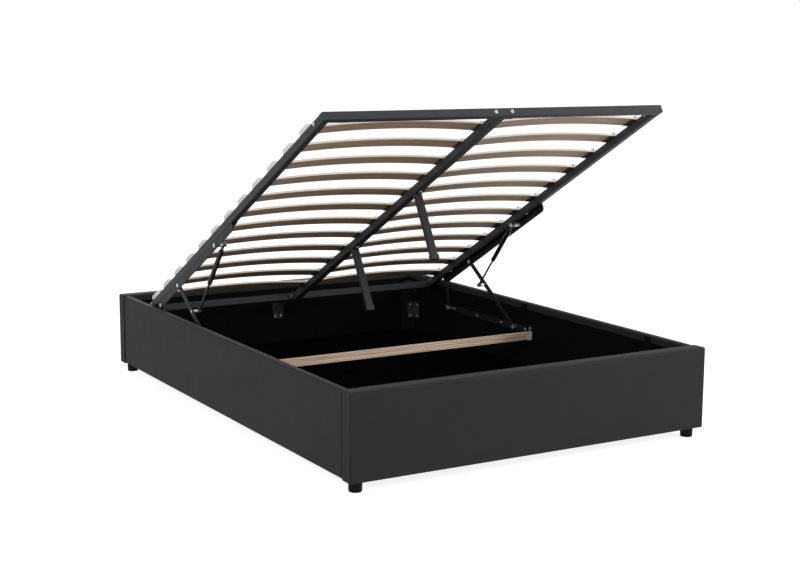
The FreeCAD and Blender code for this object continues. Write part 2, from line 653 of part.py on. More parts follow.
def lift_frame():
    """Welded tube frame with its centre rail, legs, linkage plates, pins and bolts."""
    bolts = []
    holes = []
    pieces = {}
    depth = (0, TUBE_HEIGHT)
    inner_x = FRAME_X - TUBE_WIDTH
    under = TUBE_HEIGHT

    def add_bolt(seat, direction, length):
        solid, hole = bolt(seat, direction, length)
        bolts.append(solid)
        holes.append(hole)

    for name, side in SIDES.items():
        y, z = frame_limits((TUBE_WIDTH, FRAME_LENGTH - TUBE_WIDTH), depth)
        rail_x = both(side, (inner_x, FRAME_X))
        pieces[name + "_side_rail"] = tube(rail_x, y, z, "y")
        for bolt_s in (CORNER_BOLT_SETBACK, FRAME_LENGTH - CORNER_BOLT_SETBACK):
            seat = at_x(closed_point(bolt_s, CORNER_BOLT_DROP), side * FRAME_X)
            add_bolt(seat, X_AXIS * -side, TUBE_WIDTH + TUBE_WALL)

    plugs = []
    cross_rails = {"foot": (0, TUBE_WIDTH), "head": (FRAME_LENGTH, FRAME_LENGTH - TUBE_WIDTH)}
    end_plates = []
    for name, (outer_s, inner_s) in cross_rails.items():
        y, z = frame_limits((outer_s, inner_s), depth)
        pieces[name + "_rail"] = tube((-FRAME_X, FRAME_X), y, z, "x")
        into = 1 if inner_s > outer_s else -1
        plug_y = (y[0] + into * TUBE_WALL, y[1] - into * TUBE_WALL)
        plug_z = (z[0] - TUBE_WALL, z[1] + TUBE_WALL)
        for side in SIDES.values():
            plugs.append(box(both(side, (FRAME_X - TUBE_WALL, FRAME_X)), plug_y, plug_z))
        plate_y = (y[1], y[1] + into * PLATE_THICKNESS)
        end_plates.append(box((-END_PLATE_WIDTH / 2, END_PLATE_WIDTH / 2), plate_y, z))
        for x in (-END_BOLT_SPACING / 2, END_BOLT_SPACING / 2):
            seat = Vector(x, y[0], (z[0] + z[1]) / 2)
            add_bolt(seat, Y_AXIS * into, TUBE_WIDTH + 2 * PLATE_THICKNESS)
    pieces["centre_end_plates"] = group(end_plates)
    plate_end = TUBE_WIDTH + PLATE_THICKNESS
    y, z = frame_limits((plate_end, FRAME_LENGTH - plate_end), depth)
    centre_half = CENTRE_TUBE_WIDTH / 2
    pieces["centre_rail"] = tube((-centre_half, centre_half), y, z, "y")

    legs = []
    caps = []
    leg_end = FRAME_Z0 - LEG_FLOOR_GAP
    for leg_s in (FRONT_LEG_S, REAR_LEG_S):
        leg_span = (leg_s - LEG_DEPTH / 2, leg_s + LEG_DEPTH / 2)
        leg_half = LEG_WIDTH / 2
        y, z = frame_limits(leg_span, (under + PLATE_THICKNESS, leg_end - LEG_CAP_FLOOR))
        stem = tube((-leg_half, leg_half), y, z, "z")
        plate_span = (leg_s - LEG_PLATE_LENGTH / 2, leg_s + LEG_PLATE_LENGTH / 2)
        plate_y, plate_z = frame_limits(plate_span, (under, under + PLATE_THICKNESS))
        plate = box((-leg_half, leg_half), plate_y, plate_z)
        legs.append(plate.fuse(stem).removeSplitter())
        cap_span = (leg_span[0] - LEG_CAP_WALL, leg_span[1] + LEG_CAP_WALL)
        cap_y, cap_z = frame_limits(cap_span, (leg_end - LEG_CAP_HEIGHT, leg_end))
        cap_x = leg_half + LEG_CAP_WALL
        cap = box((-cap_x, cap_x), cap_y, cap_z)
        caps.append(cap.cut(box((-leg_half, leg_half), y, z)))
        for offset in (-1, 1):
            bolt_s = leg_s + offset * (LEG_PLATE_LENGTH / 2 - SCREW_EDGE)
            seat = Vector(0, FRAME_Y0 + bolt_s, FRAME_Z0 - under - PLATE_THICKNESS)
            add_bolt(seat, Z_AXIS, PLATE_THICKNESS + 2 * TUBE_WALL)
    pieces["centre_legs"] = group(legs)
    pieces["frame_end_caps"] = group(plugs + caps)

    pins = []
    end_s = REAR_UPPER_S + UPPER_PLATE_TAIL
    y, web_z = frame_limits((end_s - UPPER_PLATE_LENGTH, end_s), (under, under + UPPER_PLATE_DEPTH))
    _, flange_z = frame_limits((0, 0), (under, under + PLATE_THICKNESS))
    for name, side in SIDES.items():
        web = box(both(side, UPPER_PLATE_X), y, web_z)
        low = min(web_z)

        def lower_corner(c):
            return near(c.z, low) and (near(c.y, y[0]) or near(c.y, y[1]))

        web = rounded(web, UPPER_PLATE_CORNER, lower_corner)
        flange_y = (y[0], y[1] - UPPER_PLATE_TAIL - UPPER_FLANGE_GAP)
        flange = box(both(side, (inner_x, FRAME_X)), flange_y, flange_z)
        angle = web.fuse(flange).removeSplitter()
        outer_x = side * FRAME_X
        bend_z = max(web_z)
        pieces[name + "_upper_plate"] = rounded(
            angle, UPPER_PLATE_BEND, lambda c: near(c.x, outer_x) and near(c.z, bend_z))
        bolt_x = side * (inner_x + TUBE_WIDTH / 3)
        for bolt_y in (y[0] + UPPER_BOLT_INSET, y[1] - UPPER_BOLT_INSET):
            add_bolt(Vector(bolt_x, bolt_y, min(flange_z)), Z_AXIS, PLATE_THICKNESS + 2 * TUBE_WALL)
        pins.append(pivot_pin(at_x(FRONT_CLOSED, side * UPPER_PLATE_X[0]), side))
        for pivot in (FRONT_CLOSED, REAR_CLOSED, STRUT_CLOSED):
            rivet = at_x(pivot, outer_x)
            pins.append(rod(rivet, rivet + X_AXIS * (side * RIVET_HEAD_HEIGHT), PIN_HEAD_RADIUS))
        seat = at_x(STRUT_CLOSED, side * UPPER_PLATE_X[0])
        collar = rod(seat, at_x(seat, side * (EYE_X[1] + FACE_GAP)), STRUT_EYE_RADIUS)
        head_x = side * (EYE_X[0] - FACE_GAP)
        shank = rod(seat, at_x(seat, head_x), STRUT_PIN_RADIUS)
        head = rod(at_x(seat, head_x), at_x(seat, head_x - side * PIN_HEAD_HEIGHT), PIN_HEAD_RADIUS)
        pins.append(collar.fuse(shank).fuse(head).removeSplitter())
    pieces["upper_pivot_pins"] = group(pins)

    for name in list(pieces):
        pieces[name] = drilled(pieces[name], holes)
    pieces["frame_bolts"] = group(bolts)
    for name, shape in pieces.items():
        nodes[name] = raised(shape)


def holder(x, y, z):
    """A slat holder's outside: a block with rounded shoulders."""
    top = max(z)
    return rounded(
        box(x, y, z), HOLDER_SHOULDER,
        lambda c: near(c.z, top) and (near(c.y, y[0]) or near(c.y, y[1])))


def slats():
    """Rows of sprung slats, bowed upwards, in holders on the side and centre rails."""
    end_x = FRAME_X - SLAT_END_INSET
    seat_z = FRAME_Z0 + SLAT_SEAT
    holder_z = (FRAME_Z0, FRAME_Z0 + HOLDER_HEIGHT)
    side_holders = []
    centre_holders = []
    for row in range(SLAT_ROWS):
        s = SLAT_FIRST_S + row * SLAT_PITCH
        front_y = closed_point(s - SLAT_WIDTH / 2, 0).y
        holder_y = (front_y - HOLDER_WALL, front_y + SLAT_WIDTH + HOLDER_WALL)
        pair = []
        for side in SIDES.values():
            start = Vector(side * SLAT_CENTRE_GAP, front_y, seat_z)
            stop = Vector(side * end_x, front_y, seat_z)
            crown = (start + stop) * 0.5 + Z_AXIS * SLAT_RISE
            thick = Z_AXIS * SLAT_THICKNESS
            edges = [
                Part.Arc(start, crown, stop).toShape(),
                Part.LineSegment(stop, stop + thick).toShape(),
                Part.Arc(stop + thick, crown + thick, start + thick).toShape(),
                Part.LineSegment(start + thick, start).toShape(),
            ]
            slat = Part.Face(Part.Wire(edges)).extrude(Y_AXIS * SLAT_WIDTH)
            pair.append(slat)
            holder_x = both(side, (end_x + HOLDER_WALL, end_x + HOLDER_WALL - HOLDER_LENGTH))
            side_holders.append(holder(holder_x, holder_y, holder_z).cut(slat))
        nodes["slat_row_%02d" % (row + 1)] = raised(group(pair))
        centre = holder((-CENTRE_HOLDER_LENGTH / 2, CENTRE_HOLDER_LENGTH / 2), holder_y, holder_z)
        centre_holders.append(centre.cut(group(pair)))
    nodes["side_slat_holders"] = raised(group(side_holders))
    nodes["centre_slat_holders"] = raised(group(centre_holders))


linings = [end_panel("foot", -1), end_panel("head", 1)]
linings += [side_panel(name, side) for name, side in SIDES.items()]
nodes["wall_linings"] = group(linings)
corners()
storage_floor()
batten()
frame_rests()
head_support()
lower_plates()
links()
struts()
lift_frame()
slats()

drilled_nodes = [
    "foot_panel_board", "head_panel_board", "left_side_board", "right_side_board", "wall_linings",
    "left_side_cover", "right_side_cover", "corner_posts", "corner_plates", "batten_hangers",
    "frame_rests", "head_support",
    "left_lower_plate", "right_lower_plate"]
for name in drilled_nodes:
    nodes[name] = drilled(nodes[name], base_holes)
nodes["base_screws"] = group(base_screws)

os.makedirs("parts", exist_ok=True)
for name, shape in nodes.items():
    shape.exportStep("parts/%s.step" % name)


def degrees_turned(before, after):
    """Turn about +X, in degrees, that takes one direction in the YZ plane to another."""
    return math.degrees(math.atan2(after.z, after.y) - math.atan2(before.z, before.y))


rear_turn = degrees_turned(REAR_OPEN - REAR_LOWER, REAR_CLOSED - REAR_LOWER)
front_turn = degrees_turned(FRONT_OPEN - FRONT_LOWER, FRONT_CLOSED - FRONT_LOWER)
strut_turn = degrees_turned(STUD_OPEN - STRUT_OPEN, STUD_CLOSED - STRUT_CLOSED)
stroke = (STUD_OPEN - STRUT_OPEN).Length - (STUD_CLOSED - STRUT_CLOSED).Length
print("nodes", len(nodes))
for label, point in (
        ("rear_lower", REAR_LOWER), ("front_lower", FRONT_LOWER), ("rear_open", REAR_OPEN),
        ("front_open", FRONT_OPEN), ("strut_open", STRUT_OPEN), ("stud_open", STUD_OPEN),
        ("frame_foot_open", open_point(0, 0))):
    print(label, round(point.y, 4), round(point.z, 4))
print("turns rear %.5f front %.5f strut %.5f lift %.5f stroke %.5f" % (
    rear_turn, front_turn, strut_turn, LIFT_ANGLE, stroke))
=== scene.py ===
import json
import math

import bpy
import numpy as np
from mathutils import Matrix, Vector


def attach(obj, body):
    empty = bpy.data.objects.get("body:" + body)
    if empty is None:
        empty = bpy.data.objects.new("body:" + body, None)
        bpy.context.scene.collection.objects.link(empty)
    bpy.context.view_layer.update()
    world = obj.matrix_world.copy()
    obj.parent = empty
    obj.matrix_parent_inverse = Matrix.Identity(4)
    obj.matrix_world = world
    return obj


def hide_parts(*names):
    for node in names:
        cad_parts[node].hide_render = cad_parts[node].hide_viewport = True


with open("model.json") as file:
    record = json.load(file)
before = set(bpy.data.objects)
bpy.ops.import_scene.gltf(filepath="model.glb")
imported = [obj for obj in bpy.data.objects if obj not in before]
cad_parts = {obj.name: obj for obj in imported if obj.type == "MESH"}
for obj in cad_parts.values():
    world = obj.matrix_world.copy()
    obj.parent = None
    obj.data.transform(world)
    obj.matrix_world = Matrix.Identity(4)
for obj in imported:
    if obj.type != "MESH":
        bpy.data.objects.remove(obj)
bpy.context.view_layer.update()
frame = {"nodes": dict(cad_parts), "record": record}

# Ottoman bed, raised: a padded faux-leather box, and a slatted steel lift frame on links
# and gas struts. Metres, X across the bed, +Y to the head end, +Z up.

MM = 0.001
SIDES = (-1, 1)

# Camera: place, its right, up and backward directions, and its sensor's width and its lens
CAMERA_PLACE = (-2.78041, -4.81598, 1.36873)
CAMERA_RIGHT = (0.861862, -0.507101, 0.006522)
CAMERA_UP = (0.079259, 0.147387, 0.985898)
CAMERA_BACK = (-0.500911, -0.849191, 0.167219)
CAMERA_SENSOR = 36.0
CAMERA_LENS = 66.385

# Box panels, in millimetres
HALF_LENGTH = 1010.0
HALF_WIDTH = 707.5
INNER_Y = 955.0
INNER_X = 677.5
SIDE_FACE_X = 704.5
PANEL_BOTTOM = 35.5
PANEL_TOP = 324.0
SIDE_STEP = 3.0
LIP_DROP = 26.0

# Leather covers, in millimetres: bends at their edges, steps of their lattice, the swell of
# their outer face and its ripples (along, up, start, share), the hem and the end seams
OUTER_BEND = 7.0
INNER_BEND = 5.0
TOP_BEND = 7.0
UNDER_BEND = 4.0
END_PANEL_BEND = 7.0
SIDE_PANEL_BEND = 1.0
SIDE_PANEL_OVERLAP = 0.5
COVER_STEPS = {"thickness": 7.0, "length": 14.0, "height": 12.0}
COVER_SWELL = 1.2
COVER_RIPPLE = 0.25
RIPPLES = ((97.0, 71.0, 0.0, 1.0), (41.0, -53.0, 1.0, 0.5))
COVER_CROWN = 0.8
COVER_SINK = 1.2
HEM_BULGE = 0.7
HEM_RISE = 1.4
HEM_REACH = 1.3
HEM_LINES = np.array([-3.0, -0.8, -0.3, 0.4, 1.2, 2.0, 2.8, 3.8, 5.0])
SEAM_WIDTH = 6.5
SEAM_DEPTH = 4.0
SEAM_EDGE = 0.3
# Share of the way from a cover's middle to its face from which a point counts as on that face
ON_FACE = 0.999

# Cross batten: half its length, its front and back, and its underside and top
BATTEN_HALF = 675.5
BATTEN_Y = (-12.0, 8.0)
BATTEN_Z = (177.0, 207.0)
BATTEN_BENDS = (0.8, 0.8, 0.8)
BATTEN_STEPS = (40.0, 10.0, 10.0)

# Heights, in millimetres, from which the wall's screws and the batten's hangers are near black,
# which takes in the screws of the hooks at the rim and the tab of each hanger over the batten,
# and the colour
HOOK_SCREWS_FROM = 275.0
HANGER_TAB_FROM = 210.0
NEAR_BLACK = "#050506"

# Lift frame: place of its foot end's top edge, and its slope when raised
FRAME_EDGE_Y = -764.2656
FRAME_EDGE_Z = 1156.0424
LIFT = math.radians(29.0)

# Slats and their holders, in millimetres of the lift frame
SLAT_ROWS = 12
SLAT_FIRST = 151.0
SLAT_PITCH = 137.0
SLAT_WIDTH = 53.0
SLAT_THICKNESS = 8.0
SLAT_SEAT = 3.0
SLAT_RISE = 16.0
SLAT_START = 5.0
SLAT_STOP = 669.0
SLAT_BENDS = (1.0, 0.8, 0.8)
SLAT_STEPS = (24.0, 10.0, 2.0)
# Depths below a slat's face between which its brown face turns into its pale edge
EDGE_DEPTHS = (0.1, 0.8)
# The grain's place moves by this much from slat to slat, along and across
GRAIN_SHIFT = (211.0, 83.0)
HOLDER_MOUTH = 654.0
HOLDER_END = 672.0
HOLDER_WIDTH = 59.0
HOLDER_HEIGHT = 19.0
HOLDER_ROOF = 2.5
HOLDER_SHOULDER = 5.0
HOLDER_END_BEND = 4.0
HOLDER_FOOT_BEND = 0.8
HOLDER_STEPS = (7.0, 11.0, 3.0)
CENTRE_HOLDER_HALF = 12.0
CENTRE_HOLDER_HEIGHT = 15.0
MOUTH_CLEARANCE = 0.6
MOUTH_BEND = 1.2
MOUTH_EDGE = 0.2
# How far a mouth reaches in, as a share of its holder, by the number of mouths
MOUTH_SHARE = {1: 0.65, 2: 0.38}
# Dark tongues under the slats' ends, a painted shade where the slats go into their holders:
# thickness, overlap into the slat, bends, steps, and spans at the sides and the centre
TONGUE_THICKNESS = 2.0
TONGUE_OVERLAP = 0.5
TONGUE_BENDS = (0.8, 0.8, 0.8)
TONGUE_STEPS = (6.0, 12.0, 3.0)
SIDE_TONGUE = (634.0, 662.0)
CENTRE_TONGUE = (9.0, 22.0)

# Gas struts: upper pivot, and direction and distance from it to the lower one
STRUT_X = 636.0
STRUT_TOP = (80.7611, 638.4722)
STRUT_AXIS = np.array([0.0, 0.6430569, -0.7658184])
STRUT_LENGTH = 367.957


def marks(low, high, bend_low, bend_high, step, lines, extra):
    """Lattice lines along one axis: at low + b (1 - tan a) through each bend, for even
    steps of the angle a from 0 to 45 degrees, and evenly spaced between the bends."""
    quarter = np.tan(np.linspace(0, np.pi / 4, lines + 1))
    first = low + bend_low * (1 - quarter[::-1])
    last = high - bend_high * (1 - quarter)
    count = max(1, round((last[0] - first[-1]) / step))
    middle = np.linspace(first[-1], last[0], count + 1)
    return np.unique(np.round(np.concatenate([first, middle, last, extra]), 4))


def block_lattice(xs, ys, zs):
    """Skin of a box on the lattice xs by ys by zs: every lattice point with an index at
    either end of its axis, and one quad for each cell of the six outer sheets."""
    shape = (len(xs), len(ys), len(zs))
    i, j, k = np.indices(shape)
    last = np.array(shape) - 1
    skin = (i % last[0] == 0) | (j % last[1] == 0) | (k % last[2] == 0)
    number = (np.cumsum(skin) - 1).reshape(shape)
    points = np.stack([xs[i[skin]], ys[j[skin]], zs[k[skin]]], axis=1)
    sheets = [
        (number[0], True), (number[-1], False),
        (number[:, 0], False), (number[:, -1], True),
        (number[:, :, 0], True), (number[:, :, -1], False)]
    quads = []
    for sheet, turn in sheets:
        around = [sheet[:-1, :-1], sheet[1:, :-1], sheet[1:, 1:], sheet[:-1, 1:]]
        cells = np.stack(around, axis=-1).reshape(-1, 4)
        quads.append(cells[:, ::-1] if turn else cells)
    return points, np.concatenate(quads)


def round_edges(points, low, high, bend_low, bend_high):
    """Pulls each point to the core c, the box less its bends b, and out again from there:
    p = c + d / |d / b|, where d = p - c, so edges and corners become parts of ellipsoids."""
    core = np.clip(points, np.add(low, bend_low), np.subtract(high, bend_high))
    away = points - core
    share = away / np.where(away < 0, bend_low, bend_high)
    return core + away / np.maximum(np.linalg.norm(share, axis=1, keepdims=True), 1e-9)


def rounded_block(low, high, bend_low, bend_high, steps, lines, extra=((), (), ())):
    """A lattice box with rounded edges: its points before and after rounding, and its quads."""
    axes = [
        marks(low[a], high[a], bend_low[a], bend_high[a], steps[a], lines, extra[a])
        for a in range(3)]
    square, quads = block_lattice(*axes)
    return square, round_edges(square, low, high, bend_low, bend_high), quads


def lathe(profile, start, axis, sides=40):
    """A closed turned shape: profile rows are (distance t along the axis, radius r), and
    p = start + t axis + r (u cos a + v sin a). The first and last radius are 0, and the
    axis does not lie along X."""
    axis = np.asarray(axis, float)
    across = np.cross(axis, [1.0, 0.0, 0.0])
    u = across / np.linalg.norm(across)
    v = np.cross(axis, u)
    profile = np.asarray(profile, float)
    angle = np.linspace(0, 2 * np.pi, sides, endpoint=False)
    ring = np.outer(np.cos(angle), u) + np.outer(np.sin(angle), v)
    middle = start + profile[:, :1] * axis
    rings = middle[1:-1, None] + profile[1:-1, 1, None, None] * ring
    points = np.concatenate([rings.reshape(-1, 3), middle[:1], middle[-1:]])
    count = len(profile) - 2
    number = np.arange(count * sides).reshape(count, sides)
    after = np.roll(number, -1, axis=1)
    quads = np.stack([number[:-1], after[:-1], after[1:], number[1:]], axis=-1).reshape(-1, 4)
    pole = np.full(sides, count * sides)
    start_fan = np.stack([after[0], number[0], pole], axis=-1)
    end_fan = np.stack([number[-1], after[-1], pole + 1], axis=-1)
    return points, [quads, start_fan, end_fan]


def joined(shapes):
    """Several shapes, each points and a list of face tables, as one."""
    starts = np.cumsum([0] + [len(points) for points, _ in shapes])
    faces = [table + start for (_, tables), start in zip(shapes, starts) for table in tables]
    return np.concatenate([points for points, _ in shapes]), faces


def frame_place(x, s, h):
    """Place in the shared frame of a lift frame point: x across, s from the foot end along the
    slope and h above the frame's top face, all in millimetres."""
    y = FRAME_EDGE_Y + s * math.cos(LIFT) + h * math.sin(LIFT)
    z = FRAME_EDGE_Z - s * math.sin(LIFT) + h * math.cos(LIFT)
    return np.stack([x, y, z], axis=1)


def add_piece(name, shape, body, material, replaced, place=None):
    """One mesh object at the origin, from millimetres, riding on a body in place of CAD nodes.
    place is a table of points in millimetres that a material can follow."""
    points, faces = shape
    mesh = bpy.data.meshes.new(name)
    rows = [row for table in faces for row in table.tolist()]
    mesh.from_pydata((points * MM).tolist(), [], rows)
    mesh.polygons.foreach_set("use_smooth", np.ones(len(mesh.polygons), bool))
    if place is not None:
        attribute = mesh.attributes.new("board_place", "FLOAT_VECTOR", "POINT")
        attribute.data.foreach_set("vector", (place * MM).astype(np.float32).ravel())
    mesh.materials.append(material)
    piece = bpy.data.objects.new(name, mesh)
    bpy.context.scene.collection.objects.link(piece)
    even = piece.modifiers.new("even_normals", "WEIGHTED_NORMAL")
    even.weight = 100
    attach(piece, body)
    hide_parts(*replaced)
    return piece


def linear(code):
    """An sRGB hex colour as linear red, green, blue and full alpha."""
    share = np.array([int(code[i:i + 2], 16) for i in (1, 3, 5)]) / 255
    curve = np.where(share <= 0.04045, share / 12.92, ((share + 0.055) / 1.055) ** 2.4)
    return (*curve.tolist(), 1.0)


def per_size(size):
    """Texture scale, for coordinates in metres, that gives features of a size in millimetres."""
    return 1 / (size * MM)


def add_node(tree, kind, sockets, **settings):
    """Adds a node: settings are its properties, and each socket gets a value or a link."""
    made = tree.nodes.new("ShaderNode" + kind)
    for key, value in settings.items():
        setattr(made, key, value)
    for key, value in sockets.items():
        if isinstance(value, bpy.types.NodeSocket):
            tree.links.new(value, made.inputs[key])
        else:
            made.inputs[key].default_value = value
    return made


def new_finish(name, **even):
    """A material with one Principled shader, the values that are even all over set on it."""
    material = bpy.data.materials.new(name)
    material.use_nodes = True
    tree = material.node_tree
    tree.nodes.clear()
    sockets = {key.replace("_", " "): value for key, value in even.items()}
    shader = add_node(tree, "BsdfPrincipled", sockets)
    add_node(tree, "OutputMaterial", {"Surface": shader.outputs["BSDF"]})
    return material, tree, shader


def mottled(tree, shader, place, size, colours, roughness, detail=4.0, stretch=(1.0, 1.0, 1.0)):
    """Noise of one size in millimetres that moves the colour between two and the roughness
    between two. stretch lengthens its features along each axis."""
    scaled = add_node(tree, "Mapping", {"Vector": place, "Scale": tuple(1 / t for t in stretch)})
    noise = add_node(
        tree, "TexNoise",
        {"Vector": scaled.outputs[0], "Scale": per_size(size), "Detail": detail})
    share = add_node(
        tree, "MapRange", {"Value": noise.outputs["Fac"], "From Min": 0.3, "From Max": 0.7})
    blend = add_node(
        tree, "Mix",
        {"Factor": share.outputs[0], 6: linear(colours[0]), 7: linear(colours[1])},
        data_type="RGBA")
    gloss = add_node(
        tree, "MapRange",
        {"Value": share.outputs[0], "To Min": roughness[0], "To Max": roughness[1]})
    tree.links.new(blend.outputs[2], shader.inputs["Base Color"])
    tree.links.new(gloss.outputs[0], shader.inputs["Roughness"])
    return noise, blend


def embossed(tree, shader, layers):
    """Bump layers one on the other: each is a height output, its depth in millimetres and
    its strength."""
    below = None
    for height, depth, strength in layers:
        sockets = {"Height": height, "Distance": depth * MM, "Strength": strength}
        if below is not None:
            sockets["Normal"] = below
        below = add_node(tree, "Bump", sockets).outputs["Normal"]
    tree.links.new(below, shader.inputs["Normal"])


def object_place(tree):
    """A piece's Object coordinates, in metres, which are those of the shared frame."""
    return add_node(tree, "TexCoord", {}).outputs["Object"]


def faux_leather():
    """Polyurethane faux leather, embossed with a fine pebble and stretched over thin foam:
    charcoal, satin, with soft broad highlights that waver a little."""
    material, tree, shader = new_finish(
        "embossed_polyurethane_faux_leather", Specular_IOR_Level=0.18, IOR=1.5)
    place = object_place(tree)
    mottled(tree, shader, place, 70.0, ("#232222", "#282726"), (0.67, 0.74))
    # The real pebble is about 1 mm, too fine to show, so it is drawn at 4 mm
    pebble = add_node(tree, "TexVoronoi", {"Vector": place, "Scale": per_size(4.0)})
    drape = add_node(tree, "TexNoise", {"Vector": place, "Scale": per_size(160.0), "Detail": 2.0})
    embossed(tree, shader, [
        (drape.outputs["Fac"], 6.0, 0.35), (pebble.outputs["Distance"], 0.5, 0.3)])
    return material


def spunbond_lining():
    """Black spunbond polypropylene cloth, point bonded in a grid: dead matt and near black."""
    material, tree, shader = new_finish(
        "black_spunbond_lining_cloth", Specular_IOR_Level=0.04)
    place = object_place(tree)
    noise, _ = mottled(tree, shader, place, 25.0, ("#0b0b0c", "#101011"), (0.85, 0.95))
    # Bonding points are 1 mm apart, drawn at 5 mm so that they show
    bonds = add_node(
        tree, "TexVoronoi", {"Vector": place, "Scale": per_size(5.0), "Randomness": 0.15})
    embossed(tree, shader, [
        (noise.outputs["Fac"], 1.5, 0.3), (bonds.outputs["Distance"], 0.4, 0.4)])
    return material


def black_hardboard():
    """Hardboard with a black printed face: flat, slightly silky, with faint dust."""
    material, tree, shader = new_finish("black_faced_hardboard", Specular_IOR_Level=0.0)
    place = object_place(tree)
    noise, _ = mottled(tree, shader, place, 55.0, ("#050506", "#080808"), (0.7, 0.85), 8.0)
    embossed(tree, shader, [(noise.outputs["Fac"], 0.4, 0.2)])
    return material


def grained_wood(name, colours, roughness, stretch, size, streak, place_name=None, specular=0.3):
    """Wood whose noise is drawn out along the grain, with thin darker pore streaks."""
    material, tree, shader = new_finish(name, Specular_IOR_Level=specular)
    if place_name is None:
        place = object_place(tree)
    else:
        place = add_node(tree, "Attribute", {}, attribute_name=place_name).outputs["Vector"]
    _, blend = mottled(tree, shader, place, size, colours[:2], roughness, 6.0, stretch)
    drawn = add_node(
        tree, "Mapping", {"Vector": place, "Scale": tuple(1 / (3 * t) for t in stretch)})
    pores = add_node(
        tree, "TexNoise",
        {"Vector": drawn.outputs[0], "Scale": per_size(streak), "Detail": 3.0})
    share = add_node(
        tree, "MapRange",
        {"Value": pores.outputs["Fac"], "From Min": 0.52, "From Max": 0.72, "To Max": 0.8})
    streaked = add_node(
        tree, "Mix", {"Factor": share.outputs[0], 6: blend.outputs[2], 7: linear(colours[2])},
        data_type="RGBA")
    tree.links.new(streaked.outputs[2], shader.inputs["Base Color"])
    embossed(tree, shader, [(pores.outputs["Fac"], 0.3, 0.25)])
    return material, tree, shader, streaked, place


def stained_pine():
    """Softwood battens stained black: the grain shows only as a change of gloss."""
    return grained_wood(
        "black_stained_pine", ("#121212", "#191817", "#0b0b0b"), (0.55, 0.75),
        (1.0, 1.0, 12.0), 9.0, 2.0, specular=0.2)[0]


def veneer_lines(tree, shader, under, place, period, colour, depth, waver):
    """Lines of one colour between veneers, a period in millimetres apart across the board's
    thickness, wavering along it by a share of the period."""
    parts = add_node(tree, "SeparateXYZ", {"Vector": place})
    drawn = add_node(tree, "Mapping", {"Vector": place, "Scale": (0.06, 1.0, 1.0)})
    wander = add_node(
        tree, "TexNoise", {"Vector": drawn.outputs[0], "Scale": per_size(12.0), "Detail": 3.0})
    layer = add_node(
        tree, "Math", {0: parts.outputs["Z"], 1: 2 * math.pi * per_size(period)},
        operation="MULTIPLY")
    moved = add_node(
        tree, "Math", {0: wander.outputs["Fac"], 1: 2 * math.pi * waver, 2: layer.outputs[0]},
        operation="MULTIPLY_ADD")
    stripe = add_node(tree, "Math", {0: moved.outputs[0]}, operation="SINE")
    share = add_node(
        tree, "MapRange",
        {"Value": stripe.outputs[0], "From Min": 0.2, "From Max": 1.0, "To Max": depth})
    layered = add_node(
        tree, "Mix", {"Factor": share.outputs[0], 6: under, 7: linear(colour)},
        data_type="RGBA")
    tree.links.new(layered.outputs[2], shader.inputs["Base Color"])


def birch_plywood():
    """Raw plywood batten, sawn on edge and unsealed: pale, with thin brown lines along it."""
    material, tree, shader, streaked, place = grained_wood(
        "raw_birch_plywood", ("#e0cfbc", "#d2b9a0", "#a8886c"), (0.6, 0.75),
        (40.0, 1.0, 1.0), 9.0, 2.4, "board_place")
    veneer_lines(tree, shader, streaked.outputs[2], place, 11.0, "#a07c5e", 0.7, 1.3)
    return material


def bent_birch_slat():
    """Steam-bent birch plywood, sealed: brown long grain on its faces, and on its paler
    sanded edges the lines of its veneers, drawn 2.6 mm apart."""
    material, tree, shader, streaked, place = grained_wood(
        "bent_birch_plywood", ("#bfa794", "#ab917d", "#866c5a"), (0.42, 0.58),
        (45.0, 1.0, 1.0), 11.0, 2.6, "board_place")
    # Depth below the nearer face, in metres, is 0 on the faces and more on the edges
    height = add_node(tree, "SeparateXYZ", {"Vector": place}).outputs["Z"]
    middle = SLAT_THICKNESS / 2 * MM
    from_middle = add_node(tree, "Math", {0: height, 1: middle}, operation="SUBTRACT")
    apart = add_node(tree, "Math", {0: from_middle.outputs[0]}, operation="ABSOLUTE")
    on_edge = add_node(
        tree, "MapRange",
        {"Value": apart.outputs[0], "From Min": middle - EDGE_DEPTHS[0] * MM,
         "From Max": middle - EDGE_DEPTHS[1] * MM})
    edged = add_node(
        tree, "Mix",
        {"Factor": on_edge.outputs[0], 6: streaked.outputs[2], 7: linear("#f0e3d4")},
        data_type="RGBA")
    veneer_lines(tree, shader, edged.outputs[2], place, 2.6, "#a58b77", 0.3, 0.15)
    return material


def particle_board():
    """Raw particle board inside the panels: pressed chips of pale and brown wood."""
    material, tree, shader = new_finish("raw_particle_board", Specular_IOR_Level=0.2)
    place = object_place(tree)
    noise, _ = mottled(tree, shader, place, 4.0, ("#c2a274", "#a8865a"), (0.75, 0.9))
    embossed(tree, shader, [(noise.outputs["Fac"], 0.5, 0.4)])
    return material


def moulded_plastic(name, colours, roughness, specular):
    """Injection moulded polypropylene with a lightly spark-eroded face."""
    material, tree, shader = new_finish(name, Specular_IOR_Level=specular, IOR=1.49)
    place = object_place(tree)
    mottled(tree, shader, place, 18.0, colours, roughness)
    # The spark texture is about 0.2 mm, drawn at 1.5 mm
    spark = add_node(tree, "TexNoise", {"Vector": place, "Scale": per_size(1.5), "Detail": 2.0})
    embossed(tree, shader, [(spark.outputs["Fac"], 0.12, 0.4)])
    return material


